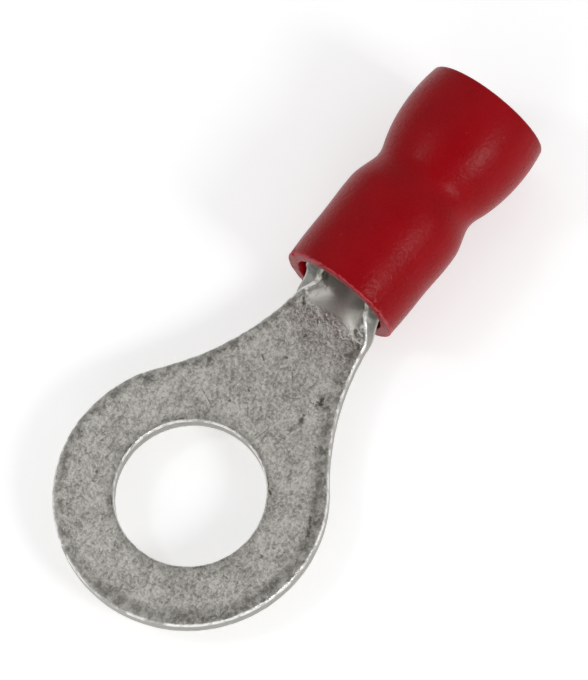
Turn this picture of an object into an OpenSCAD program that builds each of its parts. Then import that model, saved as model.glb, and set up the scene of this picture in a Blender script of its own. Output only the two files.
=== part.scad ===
// Insulated crimp ring terminal: a stamped, rolled and tinned copper terminal
// in a waisted insulating sleeve. Every length is in millimetres.
// The origin is the stud hole's centre on the tongue's underside.
// X runs from the stud hole to the wire entry, and Z is up, towards the barrel's seam.

/* [Stud ring and tongue] */
// diameter of the hole for the stud
stud_hole_d = 6.4; // [5.2:0.1:7.8]
// outer diameter of the ring
ring_d = 11.6; // [10:0.1:13.9]
// thickness of the copper sheet
stock_t = 0.8; // [0.65:0.01:0.96]
// narrowest width of the tongue, at the neck
neck_w = 3.68; // [3.06:0.02:4.2]
// radius of the die-rolled edge along the tongue's top
edge_roll_r = 0.14; // [0.06:0.01:0.2]
// radius of the rounding at the hole's top edge
hole_edge_r = 0.07; // [0.03:0.01:0.1]

/* [Neck and wire barrel] */
// distance from the stud hole's centre to the barrel's front end
barrel_x = 10.55; // [9.6:0.05:12.7]
// how far behind the barrel's front the hollow flanks would meet the neck's width
neck_reach = 0.64; // [0.3:0.02:1]
// length of the barrel
barrel_len = 5; // [4.1:0.1:6]
// diameter of the barrel's bore, which takes the stripped wire
barrel_bore_d = 2.3; // [1.9:0.02:2.76]
// length over which the flat tongue rolls up to the barrel's curve
roll_len = 0.8; // [0.65:0.05:1.1]
// radius of the corner between the neck and the barrel's wings
wing_fillet_r = 0.5; // [0.35:0.05:0.6]
// how far the wings' front edges are cut back towards the seam
wing_slant = 0.9; // [0.3:0.05:1.2]
// gap left between the two butted edges at the seam
seam_gap = 0.06; // [0.03:0.01:0.12]
// number of wire-gripping grooves around the bore
groove_count = 3; // [2:1:4]
// depth of each groove
groove_depth = 0.12; // [0.06:0.01:0.16]
// width of each groove
groove_w = 0.3; // [0.2:0.05:0.4]
// spacing of the grooves along the bore
groove_pitch = 0.95; // [0.8:0.05:1]
// bevel at the barrel's rear, inside and outside
barrel_bevel = 0.15; // [0.08:0.01:0.2]

/* [Insulating sleeve] */
// how far the sleeve's mouth stands ahead of the barrel's front
mouth_ahead = 0.25; // [0.1:0.05:0.4]
// wall around the barrel
front_wall = 0.815; // [0.6:0.005:0.95]
// radial clearance between the sleeve and the barrel
grip_clearance = 0.02; // [0.01:0.01:0.05]
// how much the bore opens out at the mouth, on the radius
mouth_flare = 0.195; // [0.15:0.005:0.25]
// length of the tapered lead-in behind the mouth
lead_len = 1; // [0.6:0.1:1.4]
// distance from the barrel's rear end to the waist
waist_past = 0.65; // [0.4:0.05:0.9]
// length over which the front closes in towards the waist
close_len = 1.31; // [1:0.01:1.6]
// radius that softens the edge where this begins
shoulder_r = 1.2; // [0.6:0.1:1.6]
// how much wider than the barrel's bore the throat at the waist is, on the radius
throat_wider = 0.5; // [0.4:0.02:0.6]
// wall around the throat at the waist
waist_wall = 0.735; // [0.6:0.005:0.85]
// how much the bell stands out beyond the waist, on the radius
bell_rise = 0.61; // [0.4:0.01:0.9]
// length of the bell from the waist to its fattest place
bell_front_len = 2.95; // [2.5:0.05:3.5]
// length of the bell from its fattest place to the rear edge
bell_rear_len = 1.45; // [1:0.05:1.8]
// wall thickness of the bell
bell_wall = 0.66; // [0.5:0.01:0.72]
// bevel at the bell's rear edge
rear_bevel = 0.1; // [0.04:0.01:0.15]

/* [Hidden] */
$fn = 96;
copper_tin = [0.62, 0.6, 0.57];
red = [0.6, 0.05, 0.08];
// spare length that lets a cutter pass right through
over = 1;

ring_r = ring_d / 2;
hole_r = stud_hole_d / 2;
bore_r = barrel_bore_d / 2;
barrel_r = bore_r + stock_t;
// the sheet's middle surface in the rolled barrel
mid_r = bore_r + stock_t / 2;
// the barrel lies on the same plane as the tongue, so its axis is one radius up
axis_z = barrel_r;
barrel_end_x = barrel_x + barrel_len;

// each flank is an arc that meets the neck's width just behind the barrel's front,
// and is all but tangent to the ring: it bites this far in, so that the arcs cross cleanly
flank_bite = 0.006;
flank_x = barrel_x + neck_reach;
bitten_r = ring_r - flank_bite;
flank_r = (pow(flank_x, 2) + pow(neck_w / 2, 2) - pow(bitten_r, 2)) / (2 * (bitten_r - neck_w / 2));
flank_y = neck_w / 2 + flank_r;
// the flat sheet ends here and starts to roll up,
// and it has the barrel's full curve where it goes into the sleeve's mouth
roll_x = barrel_x - mouth_ahead - roll_len;
fillet_x = barrel_x - wing_fillet_r;

// the sleeve's sizes follow the barrel's, outwards from its bore
grip_r = barrel_r + grip_clearance;
front_r = grip_r + front_wall;
mouth_r = grip_r + mouth_flare;
throat_r = bore_r + throat_wider;
waist_r = throat_r + waist_wall;
bell_r = waist_r + bell_rise;
// places along the sleeve, as distances from its mouth
mouth_x = barrel_x - mouth_ahead;
// the barrel's rear end stands against this step inside the sleeve
step_z = barrel_end_x - mouth_x;
waist_z = step_z + waist_past;
shoulder_z = waist_z - close_len;
bell_z = waist_z + bell_front_len;
sleeve_len = bell_z + bell_rear_len;
// the bell is one arc, from the waist over its fattest place to the rear
bell_arc_r = (pow(bell_front_len, 2) + pow(bell_rise, 2)) / (2 * bell_rise);
bell_arc_y = bell_r - bell_arc_r;
rear_r = bell_arc_y + sqrt(pow(bell_arc_r, 2) - pow(bell_rear_len, 2));
// the closing cone's half angle, and how far the softening arc reaches each way
close_angle = atan((front_r - waist_r) / close_len);
soft_len = shoulder_r * tan(close_angle / 2);

// the wings' front edges are square this far above the barrel's axis
wing_square = 0.15;

// sections of the rolled neck: some before the wing corner, the rest around it
lead_steps = 5;
fillet_steps = 9;
// strips across the sheet, and points on its rolled edge
across = 20;
edge_steps = 3;

// 0 where the sheet is flat, 1 where the curve has spread from its edges to its middle
function ease(u) = u * u * (3 - 2 * u);
function rolled(x) = ease(min(1, max(0, (x - roll_x) / roll_len)));

// half the blank's width, measured along the sheet, at a distance x
function flank_half(x) = flank_y - sqrt(pow(flank_r, 2) - pow(flank_x - x, 2));
function corner_half(x) = wing_fillet_r - sqrt(max(0, pow(wing_fillet_r, 2) - pow(x - fillet_x, 2)));
function blank_half(x) = flank_half(x) + (x > fillet_x ? corner_half(x) : 0);

// a point of the sheet: u along its width, h above its middle surface.
// The sheet is flat up to c on either side, and has the barrel's curve beyond that
function bent(x, u, h, c) =
    let (a = max(0, abs(u) - c) / mid_r * 180 / PI)
    [
        x,
        sign(u) * (min(abs(u), c) + (mid_r - h) * sin(a)),
        stock_t / 2 + mid_r - (mid_r - h) * cos(a)
    ];

// outline of the sheet's cross-section: underside, one rolled edge, top, other rolled edge
function sheet_section(b, t, r) = concat(
    [for (i = [0 : across]) [b * (2 * i / across - 1), -t / 2]],
    [for (i = [0 : edge_steps]) let (a = 90 * i / edge_steps) [b - r + r * cos(a), t / 2 - r + r * sin(a)]],
    [for (i = [1 : across - 1]) [(b - r) * (1 - 2 * i / across), t / 2]],
    [for (i = [0 : edge_steps]) let (a = 90 * (1 - i / edge_steps)) [r - b - r * cos(a), t / 2 - r + r * sin(a)]]
);

// the sheet is a hair thinner where it meets the barrel, so that the two join cleanly
join_ease = 0.02;
function section_at(x, shape_x) =
    let (b = blank_half(shape_x))
    let (c = b * (1 - rolled(shape_x)))
    let (t = stock_t - join_ease * rolled(shape_x))
    [for (p = sheet_section(b, t, edge_roll_r)) bent(x, p[0], p[1], c)];

// ring and tongue, flat, with the die-rolled top edge and the stud hole
module flat_tongue() {
    difference() {
        union() {
            rotate_extrude()
                rolled_edge_half(ring_r);
            linear_extrude(stock_t)
                polygon([
                    [0, 0],
                    [roll_x, -roll_x * flank_y / flank_x],
                    [roll_x, roll_x * flank_y / flank_x]
                ]);
        }
        for (side = [-1, 1])
            translate([flank_x, side * flank_y, 0])
                rotate_extrude()
                    flared_cutter(flank_r, edge_roll_r);
        rotate_extrude()
            flared_cutter(hole_r, hole_edge_r);
    }
}

// half section of a disc of the sheet whose top edge is rounded
module rolled_edge_half(r) {
    square([r, stock_t - edge_roll_r]);
    square([r - edge_roll_r, stock_t]);
    translate([r - edge_roll_r, stock_t - edge_roll_r])
        circle(edge_roll_r);
}

// half section of a round cutter that leaves a rounded top edge around itself
module flared_cutter(r, edge) {
    translate([0, -over])
        square([r, stock_t + 2 * over]);
    difference() {
        translate([0, stock_t - edge])
            square([r + edge, edge + over]);
        translate([r + edge, stock_t - edge])
            circle(edge);
    }
}

// faces that close one end of the neck, in strips, because the rolled section isn't convex
function cap_faces(first) =
    let (right = across + 1)
    let (left = right + edge_steps + across)
    concat(
        [[for (p = concat([across - 1, across], [for (i = [0 : edge_steps]) right + i], [top_of(across - 1)])) first + p]],
        [for (i = [1 : across - 2]) [first + i, first + i + 1, first + top_of(i + 1), first + top_of(i)]],
        [[for (p = concat([0, 1, top_of(1)], [for (i = [0 : edge_steps]) left + i])) first + p]]
    );

// the point of the top that lies across the sheet from point i of the underside
function top_of(i) = across + 1 + edge_steps + across - i;

// a list the other way round
function turned(list) = [for (i = [len(list) - 1 : -1 : 0]) list[i]];

// the sheet from the flat tongue to the barrel, rolling up as a bent sheet does
module rolled_neck() {
    lead = [for (i = [0 : lead_steps - 1]) roll_x + (fillet_x - roll_x) * i / lead_steps];
    corner = [for (i = [0 : fillet_steps]) fillet_x + wing_fillet_r * sin(90 * i / fillet_steps)];
    stations = concat(lead, corner);
    rings = concat(
        [for (x = stations) section_at(x, x)],
        [section_at(barrel_x + 0.2, barrel_x)]
    );
    m = len(rings[0]);
    n = len(rings);
    polyhedron(
        points = [for (ring = rings) each ring],
        faces = concat(
            cap_faces(0),
            [for (face = cap_faces((n - 1) * m)) turned(face)],
            [for (s = [0 : n - 2], i = [0 : m - 1])
                [s * m + i, (s + 1) * m + i, s * m + (i + 1) % m]],
            [for (s = [0 : n - 2], i = [0 : m - 1])
                [(s + 1) * m + i, (s + 1) * m + (i + 1) % m, s * m + (i + 1) % m]]
        )
    );
}

// the wire barrel along +Z from its front end
module barrel_tube() {
    first_groove = (barrel_len - (groove_count - 1) * groove_pitch) / 2;
    difference() {
        union() {
            cylinder(r = barrel_r, h = barrel_len - barrel_bevel);
            translate([0, 0, barrel_len - barrel_bevel])
                cylinder(r1 = barrel_r, r2 = barrel_r - barrel_bevel, h = barrel_bevel);
        }
        translate([0, 0, -over])
            cylinder(r = bore_r, h = barrel_len + 2 * over);
        translate([0, 0, barrel_len - barrel_bevel])
            cylinder(r1 = bore_r, r2 = bore_r + barrel_bevel, h = barrel_bevel);
        for (i = [0 : groove_count - 1])
            translate([0, 0, first_groove + i * groove_pitch - groove_w / 2])
                cylinder(r = bore_r + groove_depth, h = groove_w);
        translate([-barrel_r - over, -seam_gap / 2, -over])
            cube([over + stock_t + bore_r / 2, seam_gap, barrel_len + 2 * over]);
        rotate([90, 0, 0])
            linear_extrude(2 * barrel_r + 2 * over, center = true)
                polygon([
                    [-wing_square, -over],
                    [-wing_square, 0],
                    [-barrel_r, wing_slant],
                    [-barrel_r - over, wing_slant],
                    [-barrel_r - over, -over]
                ]);
    }
}

module terminal() {
    color(copper_tin) {
        flat_tongue();
        rolled_neck();
        translate([barrel_x, 0, axis_z])
            rotate([0, 90, 0])
                barrel_tube();
    }
}

// outer half section of the sleeve: straight front, closing cone, bell
module sleeve_outside() {
    polygon([
        [0, 0],
        [front_r, 0],
        [front_r, shoulder_z - soft_len],
        [front_r - soft_len * sin(close_angle), shoulder_z + soft_len * cos(close_angle)],
        [waist_r, waist_z],
        [0, waist_z]
    ]);
    translate([front_r - shoulder_r, shoulder_z - soft_len])
        circle(shoulder_r);
    intersection() {
        translate([bell_arc_y, bell_z])
            circle(bell_arc_r);
        polygon([
            [0, waist_z],
            [bell_r + over, waist_z],
            [bell_r + over, bell_z],
            [rear_r, sleeve_len - rear_bevel],
            [rear_r - rear_bevel, sleeve_len],
            [0, sleeve_len]
        ]);
    }
}

// half section of what is hollow: lead-in, grip on the barrel, throat, bell
module sleeve_inside() {
    polygon([
        [0, -over],
        [mouth_r + (mouth_r - grip_r) * over / lead_len, -over],
        [grip_r, lead_len],
        [grip_r, step_z],
        [throat_r, step_z],
        [throat_r, bell_z],
        [0, bell_z]
    ]);
    intersection() {
        translate([bell_arc_y, bell_z])
            circle(bell_arc_r - bell_wall);
        translate([0, waist_z - over])
            square([bell_r, sleeve_len - waist_z + 2 * over]);
    }
}

module sleeve() {
    color(red)
        translate([mouth_x, 0, axis_z])
            rotate([0, 90, 0])
                rotate_extrude()
                    difference() {
                        sleeve_outside();
                        sleeve_inside();
                    }
}

terminal();
sleeve();
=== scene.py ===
"""Insulated crimp ring terminal: a plated copper stamping in a red vinyl sleeve.

The terminal is one sheet of metal, blanked to a ring and a tongue, then rolled up
into a barrel.  The sleeve is one moulding, straight over the barrel, closed in at
its waist and belled at the wire entry.  Lengths in the classes are millimetres, and
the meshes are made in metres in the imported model's own frame.
"""

import logging
import math
from dataclasses import dataclass
from enum import Enum
from typing import Any, Callable, Sequence

import bmesh
import bpy
import numpy as np
from mathutils import Matrix, Vector, geometry, noise

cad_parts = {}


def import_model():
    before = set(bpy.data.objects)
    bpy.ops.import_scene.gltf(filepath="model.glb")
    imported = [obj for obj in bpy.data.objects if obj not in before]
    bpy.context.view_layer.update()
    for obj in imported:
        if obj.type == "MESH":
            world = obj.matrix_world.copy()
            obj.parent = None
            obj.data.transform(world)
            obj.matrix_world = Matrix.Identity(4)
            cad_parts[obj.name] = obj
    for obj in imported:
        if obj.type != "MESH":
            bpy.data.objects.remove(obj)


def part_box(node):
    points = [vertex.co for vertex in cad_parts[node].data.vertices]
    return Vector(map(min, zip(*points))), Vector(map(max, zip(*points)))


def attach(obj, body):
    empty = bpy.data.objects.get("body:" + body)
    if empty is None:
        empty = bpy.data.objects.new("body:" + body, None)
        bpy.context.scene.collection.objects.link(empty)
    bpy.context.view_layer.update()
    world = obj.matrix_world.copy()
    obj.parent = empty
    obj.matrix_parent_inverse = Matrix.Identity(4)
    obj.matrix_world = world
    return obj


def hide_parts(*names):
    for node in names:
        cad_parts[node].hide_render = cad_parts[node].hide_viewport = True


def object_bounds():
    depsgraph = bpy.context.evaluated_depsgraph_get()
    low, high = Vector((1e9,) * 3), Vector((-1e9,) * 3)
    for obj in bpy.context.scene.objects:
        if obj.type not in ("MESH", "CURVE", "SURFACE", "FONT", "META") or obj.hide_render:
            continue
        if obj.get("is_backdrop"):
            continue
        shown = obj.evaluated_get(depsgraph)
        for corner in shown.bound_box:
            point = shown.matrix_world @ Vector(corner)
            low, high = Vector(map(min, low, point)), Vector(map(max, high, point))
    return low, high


LOG = logging.getLogger("ring_terminal")
MM = 0.001

Socket = bpy.types.NodeSocket
Colour = tuple[float, float, float, float]
Plan = tuple[float, float]


# ---------------------------------------------------------------------------
# Small helpers for node trees and meshes
# ---------------------------------------------------------------------------


class Sketch:
    """Adds nodes to one node tree and joins them."""

    def __init__(self, tree: bpy.types.NodeTree) -> None:
        """Keeps the tree that the nodes go into."""
        self.tree = tree

    def feed(self, socket: Socket, value: Any) -> None:
        """Links a socket into another, or sets it to a plain value.

        Args:
            socket: The input socket.
            value: An output socket to link, or a number, colour or vector to set.
        """
        if isinstance(value, bpy.types.NodeSocket):
            self.tree.links.new(value, socket)
        else:
            socket.default_value = value

    def node(self, kind: str, inputs: dict[str, Any] | None = None, **settings: Any) -> bpy.types.Node:
        """Adds a node.

        Args:
            kind: The node's type name.
            inputs: What goes into its sockets, by socket name.
            **settings: Properties to set on the node.

        Returns:
            The new node.
        """
        made = self.tree.nodes.new(kind)
        for name, value in settings.items():
            setattr(made, name, value)
        for name, value in (inputs or {}).items():
            self.feed(made.inputs[name], value)
        return made

    def sums(self, operation: str, first: Any, second: Any = 0.0, third: Any = 0.0, clamp: bool = False) -> Socket:
        """Adds one arithmetic node.

        Args:
            operation: The operation's name.
            first: The first value or socket.
            second: The second value or socket.
            third: The third value or socket, which only some operations use.
            clamp: Whether the result is kept from 0 to 1.

        Returns:
            The result's socket.
        """
        made = self.node("ShaderNodeMath", operation=operation, use_clamp=clamp)
        for socket, value in zip(made.inputs, (first, second, third)):
            self.feed(socket, value)
        return made.outputs[0]

    def vector_sums(self, operation: str, first: Any, second: Any = (0.0, 0.0, 0.0), output: str = "Vector") -> Socket:
        """Adds one vector arithmetic node.

        Args:
            operation: The operation's name.
            first: The first vector or socket.
            second: The second vector or socket.
            output: The name of the output that is wanted.

        Returns:
            That output's socket.
        """
        made = self.node("ShaderNodeVectorMath", operation=operation)
        self.feed(made.inputs[0], first)
        self.feed(made.inputs[1], second)
        return made.outputs[output]

    def scaled(self, vector: Any, factor: Any) -> Socket:
        """Returns a vector times a number."""
        made = self.node("ShaderNodeVectorMath", operation="SCALE")
        self.feed(made.inputs[0], vector)
        self.feed(made.inputs["Scale"], factor)
        return made.outputs[0]

    def ramp(self, value: Any, low: Any, high: Any, to_low: Any = 0.0, to_high: Any = 1.0) -> Socket:
        """Adds a smooth change of range, kept inside its ends.

        Args:
            value: The value or socket to change.
            low: Where the result is to_low.
            high: Where the result is to_high.
            to_low: The result at low.
            to_high: The result at high.

        Returns:
            The result's socket.
        """
        made = self.node("ShaderNodeMapRange", interpolation_type="SMOOTHSTEP")
        for socket, given in zip(made.inputs, (value, low, high, to_low, to_high)):
            self.feed(socket, given)
        return made.outputs[0]

    def mix(self, share: Any, first: Any, second: Any, blend: str = "MIX") -> Socket:
        """Mixes two colours.

        Args:
            share: How much of the second colour shows.
            first: The first colour or socket.
            second: The second colour or socket.
            blend: The way of mixing.

        Returns:
            The mixed colour's socket.
        """
        made = self.node("ShaderNodeMix", data_type="RGBA", blend_type=blend)
        self.feed(made.inputs[0], share)
        self.feed(made.inputs[6], first)
        self.feed(made.inputs[7], second)
        return made.outputs[2]

    def group(self, tree: bpy.types.NodeTree, output: str, **inputs: Any) -> Socket:
        """Places a shared effect.

        Args:
            tree: The effect's node group.
            output: The name of the output that is wanted.
            **inputs: Values or sockets for the group's inputs, by name.

        Returns:
            That output's socket.
        """
        made = self.node("ShaderNodeGroup", node_tree=tree)
        for name, value in inputs.items():
            self.feed(made.inputs[name], value)
        return made.outputs[output]


def millimetres(sketch: Sketch) -> Socket:
    """Returns the surface's own place in the object, in millimetres."""
    place = sketch.node("ShaderNodeTexCoord").outputs["Object"]
    return sketch.scaled(place, 1.0 / MM)


def surface_value(sketch: Sketch, name: str) -> Socket:
    """Returns a number that the mesh carries at each of its points."""
    return sketch.node("ShaderNodeAttribute", attribute_name=name).outputs["Fac"]


def new_material(name: str) -> tuple[bpy.types.Material, Sketch, bpy.types.Node]:
    """Starts a material.

    Args:
        name: The material's name.

    Returns:
        The material, a sketch of its tree, and its Principled shader.
    """
    material = bpy.data.materials.new(name)
    material.use_nodes = True
    tree = material.node_tree
    tree.nodes.clear()
    sketch = Sketch(tree)
    shader = sketch.node("ShaderNodeBsdfPrincipled")
    output = sketch.node("ShaderNodeOutputMaterial")
    sketch.feed(output.inputs["Surface"], shader.outputs["BSDF"])
    return material, sketch, shader


def new_mesh_object(
    name: str,
    points: Sequence[Vector],
    faces: Sequence[Sequence[int]],
    values: dict[str, Sequence[float]],
) -> bpy.types.Object:
    """Makes a smooth-shaded mesh object from points in millimetres.

    Args:
        name: The object's name.
        points: The mesh's points, in millimetres.
        faces: The point numbers of each face.
        values: Numbers that the mesh carries at each point, by name.

    Returns:
        The new object, linked to the scene.
    """
    mesh = bpy.data.meshes.new(name)
    mesh.from_pydata([tuple(c * MM for c in p) for p in points], [], [tuple(f) for f in faces])
    mesh.update()
    mesh.polygons.foreach_set("use_smooth", [True] * len(mesh.polygons))
    for key, numbers in values.items():
        attribute = mesh.attributes.new(key, "FLOAT", "POINT")
        attribute.data.foreach_set("value", np.asarray(numbers, dtype=np.float32))
    mesh.set_sharp_from_angle(angle=math.radians(38))
    made = bpy.data.objects.new(name, mesh)
    bpy.context.scene.collection.objects.link(made)
    return made


# ---------------------------------------------------------------------------
# Shared surface effects
# ---------------------------------------------------------------------------


class Effects:
    """The node groups that the finishes share, each built once."""

    def __init__(self) -> None:
        """Builds every group."""
        self.grain = self._build("Fine grain", {"Vector": None, "Scale": 8.0, "Detail": 3.0}, ("Height",), self._grain)
        self.clouds = self._build(
            "Cloudy patches",
            {"Vector": None, "Scale": 1.0, "Low": 0.4, "High": 0.6, "Detail": 2.0},
            ("Mask",),
            self._clouds,
        )
        self.specks = self._build(
            "Specks",
            {"Vector": None, "Scale": 2.0, "Amount": 0.3, "Size": 0.25},
            ("Mask",),
            self._specks,
        )
        self.hairlines = self._build(
            "Hairline scratches",
            {"Vector": None, "Scale": 4.0, "Angle": 0.0, "Length": 12.0, "Width": 0.1, "Amount": 0.3},
            ("Mask",),
            self._hairlines,
        )
        self.edge_band = self._build(
            "Ragged edge band",
            {"Vector": None, "Gap": 1.0, "Reach": 0.3, "Raggedness": 0.5, "Scale": 5.0},
            ("Mask",),
            self._edge_band,
        )
        self.trail = self._build(
            "Rubbed trail",
            {"Vector": None, "Start": None, "End": None, "Width": 0.1, "Raggedness": 0.6, "Scale": 6.0},
            ("Mask",),
            self._trail,
        )

    @staticmethod
    def _build(
        name: str,
        inputs: dict[str, float | None],
        outputs: Sequence[str],
        fill: Callable[[Sketch, Any, Any], None],
    ) -> bpy.types.NodeTree:
        """Builds one node group.

        Args:
            name: The group's name.
            inputs: The default of each input; None is for a vector.
            outputs: The names of the outputs, which are all numbers.
            fill: Adds the group's own nodes and feeds its outputs.

        Returns:
            The group.
        """
        tree = bpy.data.node_groups.new(name, "ShaderNodeTree")
        for key, default in inputs.items():
            kind = "NodeSocketVector" if default is None else "NodeSocketFloat"
            socket = tree.interface.new_socket(key, in_out="INPUT", socket_type=kind)
            if default is not None:
                socket.default_value = default
        for key in outputs:
            tree.interface.new_socket(key, in_out="OUTPUT", socket_type="NodeSocketFloat")
        sketch = Sketch(tree)
        given = sketch.node("NodeGroupInput").outputs
        result = sketch.node("NodeGroupOutput").inputs
        fill(sketch, given, result)
        return tree

    @staticmethod
    def _grain(sketch: Sketch, given: Any, result: Any) -> None:
        """Fills the fine grain: one noise, as a height."""
        made = sketch.node(
            "ShaderNodeTexNoise",
            {"Vector": given["Vector"], "Scale": given["Scale"], "Detail": given["Detail"], "Roughness": 0.6},
        )
        sketch.feed(result["Height"], made.outputs[0])

    @staticmethod
    def _clouds(sketch: Sketch, given: Any, result: Any) -> None:
        """Fills the cloudy patches: a soft noise cut to a range."""
        made = sketch.node(
            "ShaderNodeTexNoise",
            {"Vector": given["Vector"], "Scale": given["Scale"], "Detail": given["Detail"], "Roughness": 0.5},
        )
        sketch.feed(result["Mask"], sketch.ramp(made.outputs[0], given["Low"], given["High"]))

    @staticmethod
    def _cells(sketch: Sketch, vector: Any, given: Any, size: Any) -> Socket:
        """Makes spots in some of the cells of a pattern.

        Args:
            sketch: The sketch of the group.
            vector: Where the pattern is read.
            given: The group's inputs, for its Scale and Amount.
            size: The spots' size, as a share of a cell.

        Returns:
            The spots' mask.
        """
        wobble = sketch.node(
            "ShaderNodeTexNoise",
            {"Vector": vector, "Scale": sketch.sums("MULTIPLY", given["Scale"], 2.6), "Detail": 2.0},
        )
        shift = sketch.vector_sums("SUBTRACT", wobble.outputs["Color"], (0.5, 0.5, 0.5))
        shift = sketch.scaled(shift, sketch.sums("DIVIDE", 0.55, given["Scale"]))
        place = sketch.vector_sums("ADD", vector, shift)
        cells = sketch.node("ShaderNodeTexVoronoi", {"Vector": place, "Scale": given["Scale"]}, feature="F1")
        chance = sketch.node("ShaderNodeSeparateColor", {"Color": cells.outputs["Color"]}).outputs
        kept = sketch.sums("LESS_THAN", chance[0], given["Amount"])
        wide = sketch.sums("MULTIPLY", size, sketch.sums("ADD", 0.35, chance[1]))
        spot = sketch.ramp(cells.outputs["Distance"], wide, sketch.sums("MULTIPLY", wide, 0.45))
        return sketch.sums("MULTIPLY", spot, kept)

    @classmethod
    def _specks(cls, sketch: Sketch, given: Any, result: Any) -> None:
        """Fills the specks: ragged spots in some of a pattern's cells."""
        sketch.feed(result["Mask"], cls._cells(sketch, given["Vector"], given, given["Size"]))

    @classmethod
    def _hairlines(cls, sketch: Sketch, given: Any, result: Any) -> None:
        """Fills the scratches: specks drawn out along one direction."""
        turned = sketch.node(
            "ShaderNodeVectorRotate",
            {"Vector": given["Vector"], "Angle": given["Angle"]},
            rotation_type="Z_AXIS",
        ).outputs[0]
        share = sketch.sums("DIVIDE", 1.0, given["Length"])
        stretch = sketch.node("ShaderNodeCombineXYZ", {"X": share, "Y": 1.0, "Z": 1.0}).outputs[0]
        drawn = sketch.vector_sums("MULTIPLY", turned, stretch)
        sketch.feed(result["Mask"], cls._cells(sketch, drawn, given, given["Width"]))

    @staticmethod
    def _edge_band(sketch: Sketch, given: Any, result: Any) -> None:
        """Fills the edge band: full at the edge, gone at a ragged line inside it."""
        made = sketch.node(
            "ShaderNodeTexNoise",
            {"Vector": given["Vector"], "Scale": given["Scale"], "Detail": 3.0, "Roughness": 0.65},
        )
        spread = sketch.sums("MULTIPLY", sketch.sums("SUBTRACT", made.outputs[0], 0.5), given["Raggedness"])
        reach = sketch.sums("MULTIPLY", given["Reach"], sketch.sums("MULTIPLY_ADD", spread, 4.0, 1.0))
        near = sketch.sums("MULTIPLY", reach, 0.35)
        sketch.feed(result["Mask"], sketch.ramp(given["Gap"], reach, near))

    @staticmethod
    def _trail(sketch: Sketch, given: Any, result: Any) -> None:
        """Fills the trail: a ragged mark along the line from Start to End."""
        line = sketch.vector_sums("SUBTRACT", given["End"], given["Start"])
        flat = sketch.vector_sums("MULTIPLY", given["Vector"], (1.0, 1.0, 0.0))
        away = sketch.vector_sums("SUBTRACT", flat, given["Start"])
        along = sketch.vector_sums("DOT_PRODUCT", away, line, "Value")
        whole = sketch.vector_sums("DOT_PRODUCT", line, line, "Value")
        share = sketch.sums("DIVIDE", along, whole, clamp=True)
        foot = sketch.scaled(line, share)
        gap = sketch.vector_sums("LENGTH", sketch.vector_sums("SUBTRACT", away, foot), output="Value")
        made = sketch.node(
            "ShaderNodeTexNoise",
            {"Vector": given["Vector"], "Scale": given["Scale"], "Detail": 3.0, "Roughness": 0.7},
        )
        spread = sketch.sums("MULTIPLY", sketch.sums("SUBTRACT", made.outputs[0], 0.5), given["Raggedness"])
        reach = sketch.sums("MULTIPLY", given["Width"], sketch.sums("MULTIPLY_ADD", spread, 5.0, 1.0))
        stroke = sketch.ramp(gap, reach, sketch.sums("MULTIPLY", reach, 0.3))
        gaps = sketch.node(
            "ShaderNodeTexNoise",
            {"Vector": given["Vector"], "Scale": sketch.sums("MULTIPLY", given["Scale"], 0.62), "Detail": 4.0},
        )
        open_at = sketch.sums("MULTIPLY_ADD", given["Raggedness"], 0.10, 0.33)
        solid = sketch.ramp(gaps.outputs[0], open_at, sketch.sums("ADD", open_at, 0.14))
        sketch.feed(result["Mask"], sketch.sums("MULTIPLY", stroke, solid))


# ---------------------------------------------------------------------------
# Finishes
# ---------------------------------------------------------------------------


@dataclass(frozen=True)
class Mark:
    """One stained place, or one painted highlight spot, on the tongue's top, in millimetres."""

    start: Plan
    end: Plan
    width: float
    strength: float
    raggedness: float = 0.6


TONGUE_MARKS: tuple[Mark, ...] = (
    Mark((6.50, -1.95), (6.30, -2.02), 0.16, 0.9, 0.4),
    Mark((6.43, -1.99), (5.25, -1.80), 0.17, 0.8, 0.9),
    Mark((5.25, -1.80), (3.55, -1.50), 0.17, 0.6, 1.0),
    Mark((2.35, -4.62), (1.15, -5.28), 0.12, 0.85, 0.8),
    Mark((2.05, -2.62), (1.95, -2.78), 0.09, 0.9, 0.3),
    Mark((3.92, 2.46), (3.42, 1.30), 0.035, 0.7, 0.5),
    Mark((5.15, 0.25), (4.62, -0.15), 0.06, 0.6, 0.8),
    Mark((9.71, -1.25), (9.60, -1.42), 0.15, 0.85, 0.6),
    Mark((9.50, -1.60), (9.05, -1.85), 0.12, 0.8, 0.8),
    Mark((9.60, 1.42), (9.45, 1.32), 0.13, 0.85, 0.5),
    Mark((9.62, 1.60), (9.20, 1.75), 0.10, 0.6, 0.8),
    Mark((10.40, 1.46), (10.30, 1.30), 0.12, 0.75, 0.3),
    Mark((6.60, 1.35), (6.45, 1.10), 0.05, 0.7, 0.6),
    Mark((-4.75, 2.55), (-5.20, 0.90), 0.12, 0.5, 0.8),
)
# Painted highlights: small bright spots on the neck's shoulders and beside the flanks, where the curling sheet catches
# the lamps.
PAINTED_HIGHLIGHT_MARKS: tuple[Mark, ...] = (
    Mark((10.04, 1.70), (9.98, 1.56), 0.15, 0.85, 0.2),
    Mark((10.02, -1.54), (9.96, -1.46), 0.19, 0.9, 0.2),
    Mark((9.44, -1.29), (9.42, -1.75), 0.04, 0.7, 0.3),
    Mark((9.75, -1.40), (9.70, -1.62), 0.05, 0.6, 0.4),
)


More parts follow.
